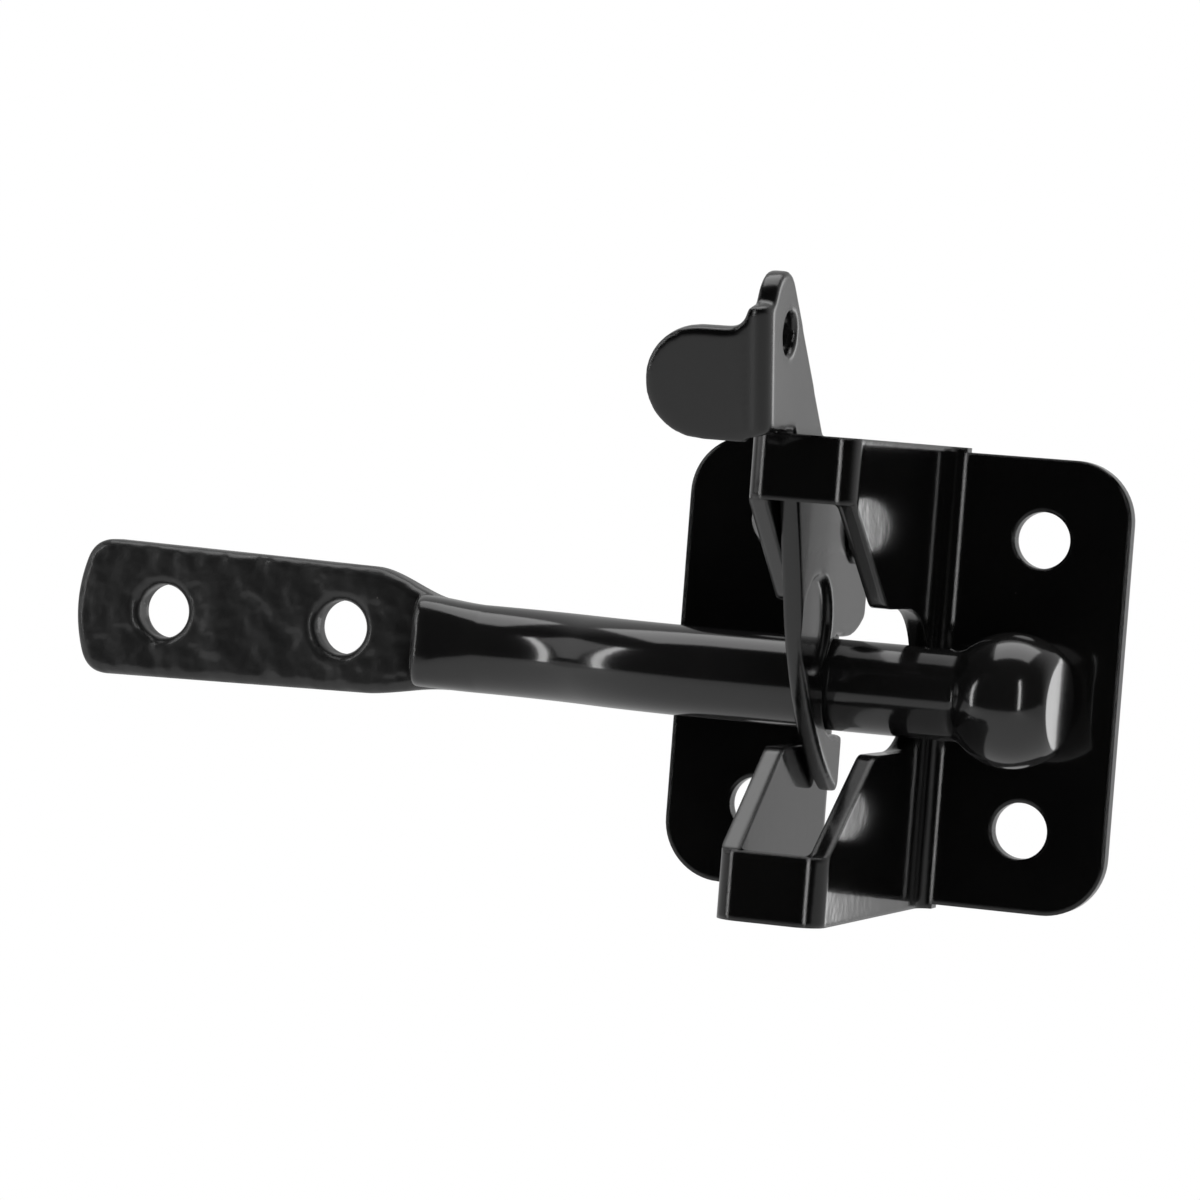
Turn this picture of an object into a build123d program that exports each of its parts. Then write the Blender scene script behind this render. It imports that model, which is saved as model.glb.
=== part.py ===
import os
from math import atan2, cos, degrees, radians, sin, sqrt

from build123d import *

os.makedirs("parts", exist_ok=True)

# Strike bar stock and where it lies in the latch
bar_radius = 6.0
bar_y = -14.0
bar_z = -1.6

# Folded sheet of the latch body
sheet = 2.4
plate_left = -30.6
plate_right = 29.8
plate_height = 60.0
plate_corner = 8.0
hat_depth = 46.0
channel_width = 15.8
channel_centre = -2.4
channel_height = 61.2
flange_bend = 2.6
nose_bend = 0.9
step_width = 1.6

# Screw holes in the flanges
screw_spacing_x = 36.2
screw_spacing_z = 38.4
screw_radius = 3.75

# Funnel mouth and slot
mouth_top = 22.2
mouth_bottom = -21.8
slot_half = 9.4
slot_front = -27.0
slot_fillet = 4.0
slot_rest = 0.3
slot_lift = 1.4

# Lever plate and its pivot
lever_thick = 2.6
side_gap = 0.3
pivot_y = -10.6
pivot_drop = 11.6
rivet_radius = 3.0
running_fit = 0.08
boss_radius = 8.2
head_radius = 4.8
head_height = 1.8
head_gap = 0.3

# Lever outline
cam_tip_y = -10.4
cam_tip_z = -16.0
cam_mid_y = -24.2
cam_mid_z = -6.4
cam_top_y = -33.0
cam_top_z = 6.0
web_gap = 0.4
hook_rear_y = -9.5
tip_bevel = 1.0
hook_gap = 0.4
throat_gap = 0.6
fold_y = -52.9
fold_z = 31.4
fold_lean = 14.0
fold_length = 13.06
tip_radius = 5.2
arm_angle = 46.0
arm_run = 24.9
cord_radius = 2.65
cord_inset = 3.4
dimple_radius = 6.4
dimple_depth = 0.9
dimple_y = -25.8
dimple_z = 6.4

# Thumb tab bent from the front edge of the arm
tab_left = -20.7
tab_top = 12.46
tab_drop = 1.64
tab_sweep = 2.8
tab_slope = 0.6
tab_corner = 7.0
tab_bend = 0.8
tab_lap = 1.0
tab_rim = 0.2

# Strike bar ends
strike_length = 143.0
bend_start = -22.0
shoulder_run = 9.8
flat_length = 51.6
flat_neck_run = 8.0
flat_bow = 2.4
flat_thick = 5.5
flat_lift = 1.1
flat_root = 14.4
flat_neck = 17.4
flat_tip = 18.8
flat_neck_round = 12.0
flat_tip_round = 3.0
flat_lap = 1.0
flat_tuck = 1.0
shoulder_thick = 9.0
shoulder_round = 2.0
strike_hole_inset = 13.1
strike_hole_spacing = 26.5
strike_hole_radius = 3.7
knob_start = 8.8
knob_shoulder = 12.2
knob_full = 17.6
knob_end = 24.8
knob_radius = 8.75
knob_tip_radius = 6.2
knob_shoulder_round = 2.4
knob_full_round = 4.5
knob_end_round = 1.2

# Positions that follow from the sizes above
wall_left = channel_centre - channel_width / 2
wall_right = channel_centre + channel_width / 2
web_front = -hat_depth
web_back = web_front + sheet
slot_z = bar_z + slot_lift
slot_end = bar_y + bar_radius + slot_rest
slot_centre = slot_end - slot_half
lever_left = wall_left + sheet + side_gap
lever_right = lever_left + lever_thick
flat_z = bar_z + flat_lift
flat_end_x = knob_end - strike_length
flat_corner_x = flat_end_x + flat_bow
flat_start = flat_end_x + flat_length
flat_neck_x = flat_start - flat_neck_run
strike_hole_far = flat_end_x + strike_hole_inset
strike_hole_near = strike_hole_far + strike_hole_spacing
bend_end = flat_start + shoulder_run
bend_turn = 2 * degrees(atan2(-bar_radius - bar_y, bend_start - bend_end))
bend_radius = (bend_start - bend_end) / 2 / sin(radians(bend_turn))
pivot_z = channel_height / 2 - pivot_drop
neck_y = web_back + web_gap
neck_z = channel_height / 2 + web_gap
lean_y = sin(radians(fold_lean))
lean_z = cos(radians(fold_lean))
rise_y = cos(radians(arm_angle))
rise_z = sin(radians(arm_angle))
front_y = fold_y - fold_length * lean_y
front_z = fold_z + fold_length * lean_z
tip_y = front_y + tip_radius * lean_z
tip_z = front_z + tip_radius * lean_y
back_y = tip_y + tip_radius * rise_z
back_z = tip_z + tip_radius * rise_y
arm_rear_y = back_y + arm_run * rise_y
arm_rear_z = back_z - arm_run * rise_z
cord_y = tip_y + cord_inset * rise_y
cord_z = tip_z - cord_inset * rise_z
tab_face = tab_bend + lever_thick
tab_reach = lever_right - tab_left
bar_reach = sqrt((bar_y - pivot_y) ** 2 + (bar_z - pivot_z) ** 2) + bar_radius
hook_reach = bar_reach + hook_gap
hook_side = bar_y + (bar_y - pivot_y) * bar_radius / bar_reach
hook_side_z = pivot_z - sqrt(hook_reach ** 2 - (hook_side - pivot_y) ** 2)
leg_reach = bar_reach - 2 * bar_radius - hook_gap
leg_rear_y = pivot_y + boss_radius
leg_rear_z = pivot_z - sqrt(leg_reach ** 2 - boss_radius ** 2)
leg_front_z = pivot_z - sqrt(leg_reach ** 2 - (hook_rear_y - pivot_y) ** 2)
mouth_y = hook_rear_y + lever_thick
mouth_z = pivot_z - sqrt(hook_reach ** 2 - (mouth_y - pivot_y) ** 2)

# Latch body, a hat section folded from one sheet
with BuildPart() as latch_body:
    with BuildSketch(Plane.XY) as hat:
        with BuildLine():
            Polyline(
                (plate_left, 0),
                (plate_left, -sheet),
                (wall_left, -sheet),
                (wall_left, web_front),
                (wall_right, web_front),
                (wall_right, -sheet),
                (plate_right, -sheet),
                (plate_right, 0),
                (wall_right - sheet, 0),
                (wall_right - sheet, web_back),
                (wall_left + sheet, web_back),
                (wall_left + sheet, 0),
                close=True,
            )
        make_face()
        corners = hat.vertices().filter_by_position(Axis.X, wall_left, wall_right)
        fillet(corners.filter_by_position(Axis.Y, -sheet, -sheet), flange_bend)
        corners = hat.vertices().filter_by_position(Axis.X, wall_left, wall_right)
        fillet(corners.filter_by_position(Axis.Y, 0, 0), flange_bend + sheet)
        corners = hat.vertices().filter_by_position(Axis.X, wall_left, wall_right)
        fillet(corners.filter_by_position(Axis.Y, web_back, web_back), nose_bend)
        corners = hat.vertices().filter_by_position(Axis.X, wall_left, wall_right)
        fillet(corners.filter_by_position(Axis.Y, web_front, web_front), nose_bend + sheet)
    extrude(amount=channel_height / 2, both=True)
    with BuildSketch(Plane.XZ):
        with Locations(((plate_left + plate_right) / 2, 0)):
            RectangleRounded(plate_right - plate_left, plate_height, plate_corner)
        with Locations((channel_centre, 0)):
            Rectangle(channel_width + 2 * step_width, channel_height)
    extrude(amount=hat_depth + sheet, both=True, mode=Mode.INTERSECT)
    with BuildSketch(Plane.YZ) as mouth:
        with BuildLine():
            Polyline(
                (web_front - sheet, mouth_top),
                (web_back, mouth_top),
                (slot_front, slot_z + slot_half),
                (slot_centre, slot_z + slot_half),
                (slot_centre, slot_z - slot_half),
                (slot_front, slot_z - slot_half),
                (web_back, mouth_bottom),
                (web_front - sheet, mouth_bottom),
                close=True,
            )
        make_face()
        fillet(mouth.vertices().filter_by_position(Axis.X, slot_front, slot_front), slot_fillet)
        with Locations((slot_centre, slot_z)):
            Circle(slot_half)
    extrude(amount=hat_depth, both=True, mode=Mode.SUBTRACT)
    with BuildSketch(Plane.XZ):
        with GridLocations(screw_spacing_x, screw_spacing_z, 2, 2):
            Circle(screw_radius)
    extrude(amount=hat_depth, both=True, mode=Mode.SUBTRACT)
    with BuildSketch(Plane.YZ.offset(wall_left)):
        with Locations((pivot_y, pivot_z)):
            Circle(rivet_radius)
    extrude(amount=sheet, mode=Mode.SUBTRACT)
latch_body.part.label = "latch_body"
export_step(latch_body.part, "parts/latch_body.step")

# Lever plate with its bent thumb tab, the cam edge, the hook and the throat over the bar
with BuildPart() as latch_lever:
    bend_plane = Plane(
        origin=(lever_right, fold_y + tab_drop * lean_y, fold_z - tab_drop * lean_z),
        x_dir=(-1, 0, 0),
        z_dir=(0, -lean_y, lean_z),
    )
    with BuildSketch(bend_plane) as bend:
        with BuildLine():
            Polyline(
                (0, -tab_lap),
                (0, tab_face),
                (tab_reach, tab_face),
                (tab_reach, tab_bend),
                (lever_thick, tab_bend),
                (lever_thick, -tab_lap),
                close=True,
            )
        make_face()
        fillet(bend.vertices().sort_by_distance((0, tab_face))[0], tab_face)
        fillet(bend.vertices().sort_by_distance((lever_thick, tab_bend))[0], tab_bend)
    extrude(amount=tab_drop + tab_top + tab_sweep)
    tab_plane = Plane(
        origin=(lever_right, fold_y - tab_face * lean_z, fold_z - tab_face * lean_y),
        x_dir=(-1, 0, 0),
        z_dir=(0, lean_z, lean_y),
    )
    with BuildSketch(tab_plane) as tab:
        with BuildLine():
            Polyline(
                (-tab_lap, 0),
                (lever_thick, 0),
                (lever_thick + tab_slope, -tab_drop),
                (tab_reach, -tab_drop),
                (tab_reach, tab_top),
                (lever_thick, tab_top),
                (lever_thick, tab_top + tab_sweep),
                (-tab_lap, tab_top + tab_sweep),
                close=True,
            )
        make_face()
        fillet(tab.vertices().group_by(Axis.X)[-1], tab_corner)
        fillet(tab.vertices().sort_by_distance((lever_thick, tab_top))[0], tab_sweep - tab_rim)
    extrude(amount=tab_face + tab_lap, mode=Mode.INTERSECT)
    with BuildSketch(Plane.YZ.offset(lever_left)):
        with BuildLine():
            ThreePointArc((cam_tip_y, cam_tip_z), (cam_mid_y, cam_mid_z), (cam_top_y, cam_top_z))
            Line((cam_top_y, cam_top_z), (neck_y, neck_z))
            Line((neck_y, neck_z), (fold_y, fold_z))
            Line((fold_y, fold_z), (front_y, front_z))
            TangentArc((front_y, front_z), (back_y, back_z), tangent=(-lean_y, lean_z))
            Line((back_y, back_z), (arm_rear_y, arm_rear_z))
            Line((arm_rear_y, arm_rear_z), (pivot_y, pivot_z + boss_radius))
            RadiusArc((pivot_y, pivot_z + boss_radius), (leg_rear_y, pivot_z), boss_radius)
            Line((leg_rear_y, pivot_z), (leg_rear_y, leg_rear_z))
            RadiusArc((leg_rear_y, leg_rear_z), (hook_rear_y, leg_front_z), leg_reach)
            Line((hook_rear_y, leg_front_z), (hook_rear_y, cam_tip_z + tip_bevel))
            Line((hook_rear_y, cam_tip_z + tip_bevel), (cam_tip_y, cam_tip_z))
        make_face()
        with Locations((bar_y, bar_z)):
            Circle(bar_radius + throat_gap, mode=Mode.SUBTRACT)
        with BuildLine():
            Line((hook_side, bar_z), (hook_side, hook_side_z))
            ThreePointArc((hook_side, hook_side_z), (pivot_y, pivot_z - hook_reach), (mouth_y, mouth_z))
            Line((mouth_y, mouth_z), (mouth_y, leg_front_z))
            Line((mouth_y, leg_front_z), (bar_y, leg_front_z))
            Line((bar_y, leg_front_z), (hook_side, bar_z))
        make_face(mode=Mode.SUBTRACT)
        with Locations((pivot_y, pivot_z)):
            Circle(rivet_radius + running_fit, mode=Mode.SUBTRACT)
        with Locations((cord_y, cord_z)):
            Circle(cord_radius, mode=Mode.SUBTRACT)
    extrude(amount=lever_thick)
    with BuildSketch(Plane.YZ.offset(lever_right)):
        with Locations((dimple_y, dimple_z)):
            Circle(dimple_radius)
    extrude(amount=-dimple_depth, mode=Mode.SUBTRACT)
latch_lever.part.label = "latch_lever"
export_step(latch_lever.part, "parts/latch_lever.step")

# Pivot rivet, headed outside the left wall and over the lever
with BuildPart() as pivot_rivet:
    rivet_plane = Plane(origin=(0, pivot_y, pivot_z), x_dir=(1, 0, 0), z_dir=(0, -1, 0))
    inner_seat = lever_right + head_gap
    with BuildSketch(rivet_plane):
        with BuildLine():
            Line((wall_left - head_height, 0), (inner_seat + head_height, 0))
            TangentArc((inner_seat + head_height, 0), (inner_seat, head_radius), tangent=(0, 1))
            Line((inner_seat, head_radius), (inner_seat, rivet_radius))
            Line((inner_seat, rivet_radius), (wall_left, rivet_radius))
            Line((wall_left, rivet_radius), (wall_left, head_radius))
            TangentArc((wall_left - head_height, 0), (wall_left, head_radius), tangent=(0, 1))
        make_face()
    revolve(axis=Axis((0, pivot_y, pivot_z), (1, 0, 0)))
pivot_rivet.part.label = "pivot_rivet"
export_step(pivot_rivet.part, "parts/pivot_rivet.step")

# Strike bar, forged flat at one end and upset to a knob at the other
with BuildPart() as strike_bar:
    with BuildSketch(Plane.YZ.offset(bend_start)):
        with Locations((bar_y, bar_z)):
            Circle(bar_radius)
    extrude(amount=knob_shoulder - bend_start)
    with BuildSketch(Plane.YZ.offset(bend_start)):
        with Locations((bar_y, bar_z)):
            Circle(bar_radius)
    revolve(axis=Axis((bend_start, bar_y + bend_radius, 0), (0, 0, -1)), revolution_arc=bend_turn)
    with BuildSketch(Plane.YZ.offset(bend_end)):
        with Locations((-bar_radius, bar_z)):
            Circle(bar_radius)
    revolve(axis=Axis((bend_end, -bar_radius - bend_radius, 0), (0, 0, -1)), revolution_arc=bend_turn)
    knob_plane = Plane(origin=(0, bar_y, bar_z), x_dir=(1, 0, 0), z_dir=(0, -1, 0))
    with BuildSketch(knob_plane) as knob:
        with BuildLine():
            Polyline(
                (knob_start, 0),
                (knob_start, bar_radius),
                (knob_shoulder, knob_radius),
                (knob_full, knob_radius),
                (knob_end, knob_tip_radius),
                (knob_end, 0),
                close=True,
            )
        make_face()
        fillet(knob.vertices().sort_by_distance((knob_shoulder, knob_radius))[0], knob_shoulder_round)
        fillet(knob.vertices().sort_by_distance((knob_full, knob_radius))[0], knob_full_round)
        fillet(knob.vertices().sort_by_distance((knob_end, knob_tip_radius))[0], knob_end_round)
    revolve(axis=Axis((0, bar_y, bar_z), (1, 0, 0)))
    with BuildSketch(Plane.YZ.offset(bend_end)):
        with Locations((-bar_radius, bar_z)):
            Circle(bar_radius)
    with BuildSketch(Plane.YZ.offset(flat_start - flat_lap)):
        with Locations((-shoulder_thick / 2, flat_z)):
            RectangleRounded(shoulder_thick, flat_root, shoulder_round)
    loft()
    with BuildSketch(Plane.XZ) as flat:
        with BuildLine():
            Polyline(
                (flat_corner_x, flat_z + flat_tip / 2),
                (flat_neck_x, flat_z + flat_neck / 2),
                (flat_start - flat_lap, flat_z + flat_root / 2),
                (flat_start, flat_z + flat_root / 2 - flat_tuck),
                (flat_start, flat_z - flat_root / 2 + flat_tuck),
                (flat_start - flat_lap, flat_z - flat_root / 2),
                (flat_neck_x, flat_z - flat_neck / 2),
                (flat_corner_x, flat_z - flat_tip / 2),
            )
            ThreePointArc(
                (flat_corner_x, flat_z - flat_tip / 2),
                (flat_end_x, flat_z),
                (flat_corner_x, flat_z + flat_tip / 2),
            )
        make_face()
        fillet(flat.vertices().filter_by_position(Axis.X, flat_neck_x, flat_neck_x), flat_neck_round)
        fillet(flat.vertices().filter_by_position(Axis.X, flat_corner_x, flat_corner_x), flat_tip_round)
    extrude(amount=flat_thick)
    with BuildSketch(Plane.XZ):
        with Locations((strike_hole_near, flat_z), (strike_hole_far, flat_z)):
            Circle(strike_hole_radius)
    extrude(amount=flat_thick, mode=Mode.SUBTRACT)
strike_bar.part.label = "strike_bar"
export_step(strike_bar.part, "parts/strike_bar.step")
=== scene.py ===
import math

import bmesh
import bpy
from mathutils import Matrix, Vector


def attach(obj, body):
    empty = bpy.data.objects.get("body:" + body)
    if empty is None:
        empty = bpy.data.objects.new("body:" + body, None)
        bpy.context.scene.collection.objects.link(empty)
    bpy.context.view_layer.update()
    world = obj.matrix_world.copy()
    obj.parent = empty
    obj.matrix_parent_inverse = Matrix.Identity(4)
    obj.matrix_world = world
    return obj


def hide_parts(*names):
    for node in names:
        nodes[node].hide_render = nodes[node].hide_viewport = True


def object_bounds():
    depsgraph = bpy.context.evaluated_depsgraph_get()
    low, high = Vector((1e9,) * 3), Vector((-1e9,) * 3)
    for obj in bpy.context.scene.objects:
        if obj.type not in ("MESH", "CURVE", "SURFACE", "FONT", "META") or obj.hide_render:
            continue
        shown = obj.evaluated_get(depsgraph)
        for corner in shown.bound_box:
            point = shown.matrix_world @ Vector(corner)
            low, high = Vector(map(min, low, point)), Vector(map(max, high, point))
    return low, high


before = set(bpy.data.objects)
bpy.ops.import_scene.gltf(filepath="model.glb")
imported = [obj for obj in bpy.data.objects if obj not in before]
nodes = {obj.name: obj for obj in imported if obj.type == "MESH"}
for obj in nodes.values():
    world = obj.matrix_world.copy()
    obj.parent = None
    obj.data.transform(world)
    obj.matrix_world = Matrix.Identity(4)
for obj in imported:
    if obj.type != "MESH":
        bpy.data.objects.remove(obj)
cad_low, cad_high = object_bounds()


def node(tree, kind, place, inputs=None, **values):
    """A node at a place in the editor, with its settings and then its unlinked inputs."""
    made = tree.nodes.new(kind)
    made.location = place
    for name, value in values.items():
        setattr(made, name, value)
    for key, value in (inputs or {}).items():
        made.inputs[key].default_value = value
    return made


def empty_tree(owner):
    owner.use_nodes = True
    owner.node_tree.nodes.clear()
    return owner.node_tree


def add(name, data):
    made = bpy.data.objects.new(name, data)
    bpy.context.scene.collection.objects.link(made)
    return made


def grey(value):
    return (value, value, value, 1)


# Enamel: lengths in metres, scales per metre
film_ior, coat_weight, coat_rough, coat_ior = 1.55, 0.35, 0.04, 1.5
cloud_scale, cloud_detail = 60.0, 4.0
tint_stops = ((0.3, (0.75, 0.75, 0.78)), (0.75, (1.35, 1.33, 1.3)))
dust_scale, dust_rim, dust_core, dust_rarity = 260.0, 0.045, 0.02, 0.86
dust_colour = (0.11, 0.105, 0.1, 1)
gloss_low, gloss_high = 0.8, 1.3
peel_scale, peel_detail, peel_depth = 420.0, 2.0, 0.0002
dent_scale, dent_detail, dent_depth = 210.0, 1.5, 0.0012
forged_from, forged_to, forged_rough = -0.060, -0.074, 0.3
edge_samples = 6


def enamel(name, base, rough, peel, edge, dents=0.0):
    """Gloss black enamel with orange peel, a slow change of tint and gloss, and dust specks.

    Shading rounds the edges by the radius edge. With dents, the forged flat of the bar is also
    hammered and duller.
    """
    mat = bpy.data.materials.new(name)
    tree = empty_tree(mat)
    link = tree.links.new
    out = node(tree, "ShaderNodeOutputMaterial", (700, 0))
    shader = node(tree, "ShaderNodeBsdfPrincipled", (400, 0), {
        "IOR": film_ior,
        "Metallic": 0.0,
        "Coat Weight": coat_weight,
        "Coat Roughness": coat_rough,
        "Coat IOR": coat_ior,
    })
    link(shader.outputs["BSDF"], out.inputs["Surface"])
    where = node(tree, "ShaderNodeTexCoord", (-900, 0))

    cloud = node(tree, "ShaderNodeTexNoise", (-650, 250), {
        "Scale": cloud_scale,
        "Detail": cloud_detail,
    })
    link(where.outputs["Object"], cloud.inputs["Vector"])
    tint = node(tree, "ShaderNodeValToRGB", (-350, 300))
    for stop, (position, shares) in zip(tint.color_ramp.elements, tint_stops):
        stop.position = position
        stop.color = (*(base * share for share in shares), 1)
    link(cloud.outputs["Fac"], tint.inputs["Fac"])

    # A speck in a few cells of the pattern only
    dust = node(tree, "ShaderNodeTexVoronoi", (-650, 550), {"Scale": dust_scale})
    link(where.outputs["Object"], dust.inputs["Vector"])
    fleck = node(tree, "ShaderNodeMapRange", (-350, 600), {
        "From Min": dust_rim,
        "From Max": dust_core,
    })
    link(dust.outputs["Distance"], fleck.inputs["Value"])
    split = node(tree, "ShaderNodeSeparateColor", (-500, 800))
    link(dust.outputs["Color"], split.inputs["Color"])
    pick = node(tree, "ShaderNodeMath", (-350, 800), {1: dust_rarity}, operation="GREATER_THAN")
    link(split.outputs["Red"], pick.inputs[0])
    speck = node(tree, "ShaderNodeMath", (-150, 650), operation="MULTIPLY")
    link(fleck.outputs["Result"], speck.inputs[0])
    link(pick.outputs["Value"], speck.inputs[1])
    coat = node(tree, "ShaderNodeMix", (100, 300), {"B": dust_colour}, data_type="RGBA")
    link(speck.outputs["Value"], coat.inputs["Factor"])
    link(tint.outputs["Color"], coat.inputs["A"])
    link(coat.outputs["Result"], shader.inputs["Base Color"])

    gloss = node(tree, "ShaderNodeMapRange", (-350, 50), {
        "To Min": rough * gloss_low,
        "To Max": rough * gloss_high,
    })
    link(cloud.outputs["Fac"], gloss.inputs["Value"])
    link(gloss.outputs["Result"], shader.inputs["Roughness"])

    round_off = node(
        tree, "ShaderNodeBevel", (-350, -300), {"Radius": edge}, samples=edge_samples
    )
    skin = node(tree, "ShaderNodeTexNoise", (-650, -150), {
        "Scale": peel_scale,
        "Detail": peel_detail,
    })
    link(where.outputs["Object"], skin.inputs["Vector"])
    last = node(tree, "ShaderNodeBump", (-100, -150), {"Strength": peel, "Distance": peel_depth})
    link(skin.outputs["Fac"], last.inputs["Height"])
    link(round_off.outputs["Normal"], last.inputs["Normal"])

    if dents:
        hammer = node(tree, "ShaderNodeTexNoise", (-650, -450), {
            "Scale": dent_scale,
            "Detail": dent_detail,
        })
        link(where.outputs["Object"], hammer.inputs["Vector"])
        along = node(tree, "ShaderNodeSeparateXYZ", (-650, -700))
        link(where.outputs["Object"], along.inputs["Vector"])
        forged = node(tree, "ShaderNodeMapRange", (-400, -700), {
            "From Min": forged_from,
            "From Max": forged_to,
        }, interpolation_type="SMOOTHSTEP")
        link(along.outputs["X"], forged.inputs["Value"])
        depth = node(tree, "ShaderNodeMath", (-150, -500), operation="MULTIPLY")
        link(hammer.outputs["Fac"], depth.inputs[0])
        link(forged.outputs["Result"], depth.inputs[1])
        beaten = node(tree, "ShaderNodeBump", (120, -250), {
            "Strength": dents,
            "Distance": dent_depth,
        })
        link(depth.outputs["Value"], beaten.inputs["Height"])
        link(last.outputs["Normal"], beaten.inputs["Normal"])
        last = beaten
        dull = node(
            tree, "ShaderNodeMath", (0, 50), {1: forged_rough}, operation="MULTIPLY_ADD"
        )
        link(forged.outputs["Result"], dull.inputs[0])
        link(gloss.outputs["Result"], dull.inputs[2])
        link(dull.outputs["Value"], shader.inputs["Roughness"])
    link(last.outputs["Normal"], shader.inputs["Normal"])
    link(last.outputs["Normal"], shader.inputs["Coat Normal"])
    return mat


finishes = {
    "latch_body": enamel("sheet_enamel", base=0.006, rough=0.09, peel=0.05, edge=0.0009),
    "latch_lever": enamel("lever_enamel", base=0.006, rough=0.2, peel=0.03, edge=0.0006),
    "pivot_rivet": enamel("rivet_enamel", base=0.006, rough=0.12, peel=0.05, edge=0.0005),
    "strike_bar": enamel(
        "bar_enamel", base=0.013, rough=0.13, peel=0.04, edge=0.0005, dents=0.9
    ),
}
for name, mat in finishes.items():
    part = nodes[name]
    part.data.materials.clear()
    part.data.materials.append(mat)

# The right wall leans out from the web to the flange, as the photograph shows
web_centre, web_half, sheet, wall_lean = -0.0024, 0.0055, 0.0024, 0.044
body = add("body_skin", nodes["latch_body"].data.copy())
for vertex in body.data.vertices:
    share = min(max((vertex.co.x - web_centre) / web_half, 0.0), 1.0)
    vertex.co.x -= share * wall_lean * max(0.0, -vertex.co.y - sheet)
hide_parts("latch_body")
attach(body, "latch")

# The lever's bend comes down to the web at its lower edge, and thick enamel rounds every edge
lip_front, lip_top, lip_left = -0.0525, 0.0316, -0.0083
lip_drop, lip_floor = 0.0011, 0.0289
film_voxel, film_smooth, film_passes = 0.00025, 0.5, 40
lever = add("lever_skin", nodes["latch_lever"].data.copy())
for vertex in lever.data.vertices:
    if vertex.co.y < lip_front and vertex.co.z < lip_top and vertex.co.x > lip_left:
        vertex.co.z -= min(lip_drop, vertex.co.z - lip_floor)
flow = lever.modifiers.new("flow", "REMESH")
flow.mode = "VOXEL"
flow.voxel_size = film_voxel
flow.use_smooth_shade = True
settle = lever.modifiers.new("settle", "SMOOTH")
settle.factor = film_smooth
settle.iterations = film_passes
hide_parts("latch_lever")
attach(lever, "lever")

# Strike bar, sizes in millimetres as in the part's source
per_metre = 1000
bar_radius, bar_y, bar_z, flat_z = 6.0, -14.0, -1.6, -0.5
bend_start, bend_end, step_x, step_z = -22.0, -56.8, -66.4, -1.2
ball_x, ball_radius, ball_end, end_tilt = 18.5, 8.9, 24.8, math.radians(5)
ball_from, ball_to, ball_turns, tilt_turns = 24.2, 12.35, 26, 8
end_rings = ((ball_end, 0.01), (ball_end, 5.5), (24.74, 5.95), (24.55, 6.35))
collar_rings = ((12.1, 6.24), (11.8, 6.09))
straight_places = (11.3, 0.0, -12.0)
bend_turns, neck_rings = 16, 40
neck_tall, neck_thin, neck_round, neck_power = 6.25, 0.25, 1.15, 20
step_tall, step_rings = 6.15, ((-66.7, 8.9), (-66.95, 8.2), (-67.1, 7.0), (-67.15, 4.0))
round_power, square_power = 2.0, 3.4
around = 56
flat_thick, flat_end, flat_roll, roll_steps = 5.5, -118.2, 1.5, 5
flat_half, flat_bow, flat_corner, flat_taper = 9.4, 2.2, 3.0, 0.7
bow_steps, corner_steps, side_steps, neck_steps = 16, 12, 20, 16
neck_x, neck_run, neck_from, neck_to = -75.0, 12.6, 8.7, 6.1
tail_x, tail_half = -59.0, 3.2
hole_places, hole_radius, hole_steps = (-105.1, -78.6), 3.7, 64
same_point, sharp_angle = 1e-6, math.radians(40)


def ease(low, high, share):
    share = min(max(share, 0.0), 1.0)
    return low + (high - low) * share * share * (3 - 2 * share)


def shank_stations():
    """Centre, turn, half depth, half height and squareness of each ring, from ball to step."""
    made = []

    def round_ring(x, y, turn, radius):
        made.append((x, y, bar_z, turn, radius, radius, round_power))

    for x, radius in end_rings:
        round_ring(x, bar_y, end_tilt, radius)
    first = math.asin((ball_from - ball_x) / ball_radius)
    last = math.asin((ball_to - ball_x) / ball_radius)
    for i in range(ball_turns + 1):
        turn = first + (last - first) * i / ball_turns
        lean = end_tilt * max(0.0, 1 - i / tilt_turns)
        round_ring(ball_x + ball_radius * math.sin(turn), bar_y, lean, ball_radius * math.cos(turn))
    for x, radius in collar_rings:
        round_ring(x, bar_y, 0.0, radius)
    for x in straight_places:
        round_ring(x, bar_y, 0.0, bar_radius)

    # Two equal arcs, the second turned back
    run = bend_start - bend_end
    turn_all = 2 * math.atan2(-bar_radius - bar_y, run)
    bend_radius = run / 2 / math.sin(turn_all)
    for i in range(bend_turns + 1):
        turn = turn_all * i / bend_turns
        x = bend_start - bend_radius * math.sin(turn)
        round_ring(x, bar_y + bend_radius * (1 - math.cos(turn)), turn, bar_radius)
    for i in range(1, bend_turns + 1):
        turn = turn_all * (1 - i / bend_turns)
        x = bend_end + bend_radius * math.sin(turn)
        round_ring(x, -bar_radius - bend_radius * (1 - math.cos(turn)), turn, bar_radius)

    # The neck turns square, keeps its depth and rounds off at the step
    for i in range(1, neck_rings + 1):
        share = i / neck_rings
        deep = bar_radius - neck_thin * share - neck_round * share ** neck_power
        tall = ease(bar_radius, neck_tall, share)
        square = round_power + (square_power - round_power) * share
        x = bend_end + (step_x - bend_end) * share
        made.append((x, -deep, ease(bar_z, step_z, share), 0.0, deep, tall, square))
    for x, front in step_rings:
        made.append((x, -front / 2, step_z, 0.0, front / 2, step_tall, square_power))
    return made


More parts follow.
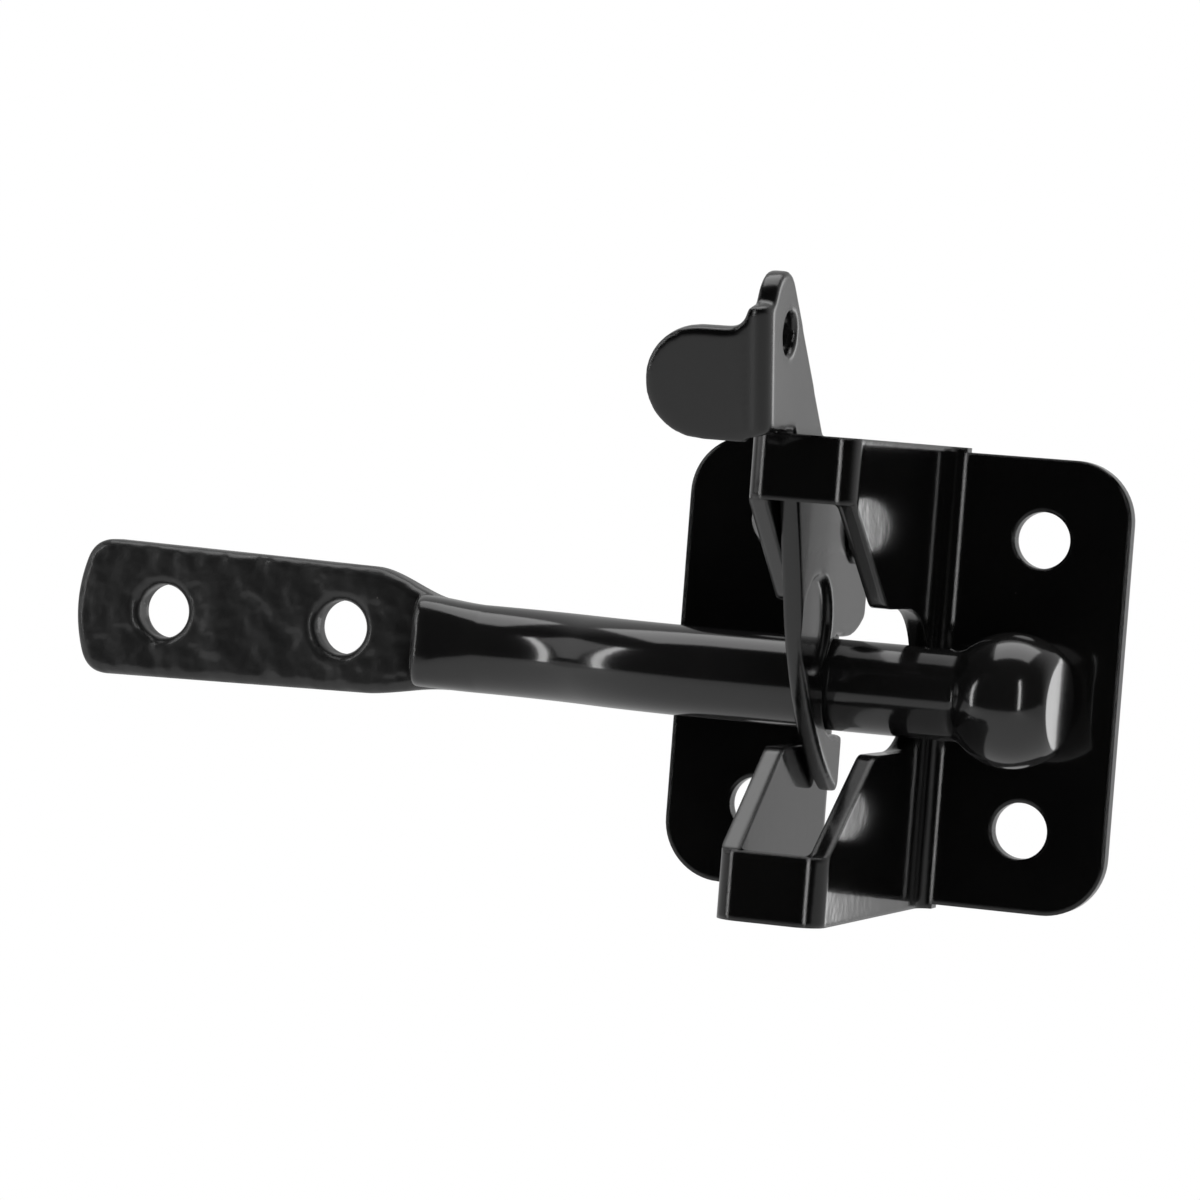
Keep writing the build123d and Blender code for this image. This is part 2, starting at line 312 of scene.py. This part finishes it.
def shank_mesh():
    points, faces = [], []
    for x, y, z, turn, deep, tall, square in shank_stations():
        for j in range(around):
            angle = 2 * math.pi * j / around
            c, s = math.cos(angle), math.sin(angle)
            a = deep * math.copysign(abs(c) ** (2 / square), c)
            b = tall * math.copysign(abs(s) ** (2 / square), s)
            point = (x + a * math.sin(turn), y + a * math.cos(turn), z + b)
            points.append([value / per_metre for value in point])
    count = len(points) // around
    for i in range(count - 1):
        here, there = i * around, (i + 1) * around
        for j in range(around):
            k = (j + 1) % around
            faces.append((here + j, here + k, there + k, there + j))
    faces.append(tuple(range(around))[::-1])
    faces.append(tuple(range((count - 1) * around, count * around)))
    mesh = bpy.data.meshes.new("shank")
    mesh.from_pydata(points, [], faces)
    return mesh


def flat_outline():
    """Edge of the flat: bowed end, rounded corners, tapered sides, and a neck into the shank."""
    half = []
    side = flat_half - flat_corner
    for i in range(bow_steps + 1):
        tall = side * i / bow_steps
        half.append((flat_end + flat_bow * (tall / flat_half) ** 2, tall, flat_z))
    start = half[-1][0]
    corner = start + 2 * flat_bow * side / flat_half ** 2 * flat_corner
    for i in range(1, corner_steps + 1):
        t = i / corner_steps
        x = (1 - t) ** 2 * start + 2 * t * (1 - t) * corner + t * t * (corner + flat_corner)
        half.append((x, flat_half - flat_corner * (1 - t) ** 2, flat_z))
    sides = half[-1][0]
    for i in range(1, side_steps + 1):
        x = sides + (neck_x - sides) * i / side_steps
        half.append((x, flat_half - flat_taper * i / side_steps, flat_z))
    for i in range(1, neck_steps + 1):
        share = i / neck_steps
        tall = ease(neck_from, neck_to, share)
        half.append((neck_x + neck_run * share, tall, ease(flat_z, bar_z, share)))
    half.append((tail_x, tail_half, bar_z))
    upper = [(x, z + tall) for x, tall, z in half]
    lower = [(x, z - tall) for x, tall, z in half[1:]]
    return upper[::-1] + lower


def flat_mesh():
    """The drilled flat with rolled edges, stood upright with its back on Y = 0."""
    plan = bpy.data.curves.new("flat_plan", "CURVE")
    plan.dimensions = "2D"
    plan.fill_mode = "BOTH"
    plan.extrude = (flat_thick / 2 - flat_roll) / per_metre
    plan.bevel_depth = flat_roll / per_metre
    plan.offset = -flat_roll / per_metre
    plan.bevel_resolution = roll_steps
    loops = [flat_outline()]
    ring = [2 * math.pi * i / hole_steps for i in range(hole_steps)]
    for place in hole_places:
        loops.append([
            (place + hole_radius * math.cos(a), flat_z - hole_radius * math.sin(a)) for a in ring
        ])
    for loop in loops:
        line = plan.splines.new("POLY")
        line.points.add(len(loop) - 1)
        for point, (x, z) in zip(line.points, loop):
            point.co = (x / per_metre, z / per_metre, 0, 1)
        line.use_cyclic_u = True
    holder = bpy.data.objects.new("flat_plan", plan)
    mesh = bpy.data.meshes.new_from_object(holder)
    bpy.data.objects.remove(holder)
    bpy.data.curves.remove(plan)
    middle = -flat_thick / 2 / per_metre
    mesh.transform(Matrix(((1, 0, 0, 0), (0, 0, -1, middle), (0, 1, 0, 0), (0, 0, 0, 1))))
    return mesh


def closed_piece(name, mesh):
    """One closed shell with its normals outwards, as an object in the scene."""
    shell = bmesh.new()
    shell.from_mesh(mesh)
    bmesh.ops.remove_doubles(shell, verts=shell.verts, dist=same_point)
    bmesh.ops.recalc_face_normals(shell, faces=shell.faces)
    for face in shell.faces:
        face.smooth = True
    shell.to_mesh(mesh)
    shell.free()
    return add(name, mesh)


# Flat and shank are joined into one shell
flat = closed_piece("flat", flat_mesh())
shank = closed_piece("shank", shank_mesh())
weld = flat.modifiers.new("weld", "BOOLEAN")
weld.operation = "UNION"
weld.solver = "EXACT"
weld.object = shank
welded = flat.evaluated_get(bpy.context.evaluated_depsgraph_get())
mesh = bpy.data.meshes.new_from_object(welded)
mesh.name = "strike_skin"
mesh.materials.clear()
mesh.materials.append(finishes["strike_bar"])
mesh.set_sharp_from_angle(angle=sharp_angle)
for spare in (flat, shank):
    bpy.data.objects.remove(spare)
strike = add("strike_skin", mesh)
even = strike.modifiers.new("even", "WEIGHTED_NORMAL")
even.keep_sharp = True
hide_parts("strike_bar")
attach(strike, "latch")

# Camera, from the fitted view of the photograph: lengths in millimetres, focal length in pixels
azimuth, elevation, roll = math.radians(18.199), math.radians(1.985), math.radians(4.387)
focal, distance, slide, lift = 4889.03, 651.0, 40.278, -9.784
photo_width, sensor = 1200, 36.0
right0 = Vector((math.cos(azimuth), math.sin(azimuth), 0))
ahead = Vector((
    -math.sin(azimuth) * math.cos(elevation),
    math.cos(azimuth) * math.cos(elevation),
    -math.sin(elevation),
))
up0 = right0.cross(ahead)
right = math.cos(roll) * right0 + math.sin(roll) * up0
up = -math.sin(roll) * right0 + math.cos(roll) * up0
eye = (-slide * right - lift * up - distance * ahead) / per_metre
lens = bpy.data.cameras.new("camera")
lens.sensor_width = sensor
lens.lens = focal / photo_width * sensor
lens.clip_start, lens.clip_end = 0.01, 50
camera = add("camera", lens)
turn = Matrix((right, up, -ahead)).transposed()
camera.matrix_world = Matrix.Translation(eye) @ turn.to_4x4()
bpy.context.scene.camera = camera

# Surroundings: plain white to the camera. The part is lit by, and mirrors, grey from behind it
# and nearly black from its sides and the camera's side
dark_tone, light_tone = 0.004, 0.44
dark_to, light_from = -0.15, 0.6
world = bpy.data.worlds.new("studio")
bpy.context.scene.world = world
tree = empty_tree(world)
link = tree.links.new
out = node(tree, "ShaderNodeOutputWorld", (900, 0))
sky = node(tree, "ShaderNodeBackground", (500, -100))
plain = node(tree, "ShaderNodeBackground", (500, 150), {"Color": grey(1)})
pathway = node(tree, "ShaderNodeLightPath", (400, 400))
pick = node(tree, "ShaderNodeMixShader", (700, 0))
link(pathway.outputs["Is Camera Ray"], pick.inputs["Fac"])
link(sky.outputs["Background"], pick.inputs[1])
link(plain.outputs["Background"], pick.inputs[2])
link(pick.outputs["Shader"], out.inputs["Surface"])
where = node(tree, "ShaderNodeTexCoord", (-700, 0))
split = node(tree, "ShaderNodeSeparateXYZ", (-500, 0))
link(where.outputs["Generated"], split.inputs["Vector"])
behind = node(tree, "ShaderNodeMapRange", (-250, 0), {
    "From Min": dark_to,
    "From Max": light_from,
}, interpolation_type="SMOOTHSTEP")
link(split.outputs["Y"], behind.inputs["Value"])
tone = node(tree, "ShaderNodeMix", (100, -100), {
    "A": grey(dark_tone),
    "B": grey(light_tone),
}, data_type="RGBA")
link(behind.outputs["Result"], tone.inputs["Factor"])
link(tone.outputs["Result"], sky.inputs["Color"])

# Pale floor well below the part. It glows white to the camera, less under the part so that a
# soft shadow stays, and only by mirror_share to the part's faces
floor_z, floor_edge = cad_low.z - 0.22, -0.9
floor_side, floor_reach = 6, 12
floor_tone, mirror_share = 0.9, 0.3
sweep_from, sweep_to, near_share, far_share = 0.3, 0.95, 0.6, 1.0
pale = bpy.data.materials.new("pale_floor")
tree = empty_tree(pale)
link = tree.links.new
out = node(tree, "ShaderNodeOutputMaterial", (600, 0))
matte = node(tree, "ShaderNodeBsdfDiffuse", (0, 0), {"Color": grey(floor_tone)})
glow = node(tree, "ShaderNodeEmission", (0, -200), {"Color": grey(1)})
pathway = node(tree, "ShaderNodeLightPath", (-300, 300))
where = node(tree, "ShaderNodeTexCoord", (-900, 500))
out_from = node(tree, "ShaderNodeVectorMath", (-600, 500), operation="LENGTH")
link(where.outputs["Object"], out_from.inputs["Vector"])
sweep = node(tree, "ShaderNodeMapRange", (-300, 500), {
    "From Min": sweep_from,
    "From Max": sweep_to,
    "To Min": near_share,
    "To Max": far_share,
}, interpolation_type="SMOOTHSTEP")
link(out_from.outputs["Value"], sweep.inputs["Value"])
seen = node(tree, "ShaderNodeMath", (0, 300), operation="MULTIPLY")
link(pathway.outputs["Is Camera Ray"], seen.inputs[0])
link(sweep.outputs["Result"], seen.inputs[1])
mirrored = node(tree, "ShaderNodeMath", (0, 500), {1: mirror_share}, operation="MULTIPLY")
link(pathway.outputs["Is Glossy Ray"], mirrored.inputs[0])
most = node(tree, "ShaderNodeMath", (200, 400), operation="MAXIMUM")
link(seen.outputs["Value"], most.inputs[0])
link(mirrored.outputs["Value"], most.inputs[1])
both = node(tree, "ShaderNodeMixShader", (300, 0))
link(most.outputs["Value"], both.inputs["Fac"])
link(matte.outputs["BSDF"], both.inputs[1])
link(glow.outputs["Emission"], both.inputs[2])
link(both.outputs["Shader"], out.inputs["Surface"])


def floor_piece(name, near, far):
    corners = ((-floor_side, near), (floor_side, near), (floor_side, far), (-floor_side, far))
    mesh = bpy.data.meshes.new(name)
    mesh.from_pydata([(x, y, floor_z) for x, y in corners], [], [(0, 1, 2, 3)])
    mesh.materials.append(pale)
    return add(name, mesh)


floor = floor_piece("floor", floor_edge, floor_reach)

# The same floor on the camera's side, which the dark front faces don't mirror
front = floor_piece("floor_front", -floor_reach, floor_edge)
front.visible_glossy = False

aim = Vector((-0.04, -0.02, 0))


def softbox(name, place, size, power):
    lamp = bpy.data.lights.new(name, "AREA")
    lamp.shape = "RECTANGLE"
    lamp.size, lamp.size_y = size
    lamp.energy = power
    box = add(name, lamp)
    box.location = place
    box.rotation_mode = "QUATERNION"
    box.rotation_quaternion = (aim - Vector(place)).to_track_quat("-Z", "Y")
    box.visible_camera = False


softbox("top_box", place=(-0.05, 0.05, 0.55), size=(0.7, 0.4), power=1.7)
softbox("left_box", place=(-0.75, -0.15, 0.25), size=(0.4, 0.5), power=0.5)
softbox("left_strip", place=(-0.78, -0.5, 0.2), size=(0.08, 0.8), power=1.3)
softbox("right_strip", place=(0.55, -0.75, 0.2), size=(0.07, 0.8), power=1.5)
softbox("right_box", place=(0.40, 0.80, 0.0), size=(0.16, 0.4), power=0.36)

bpy.context.scene.view_settings.view_transform = "Standard"
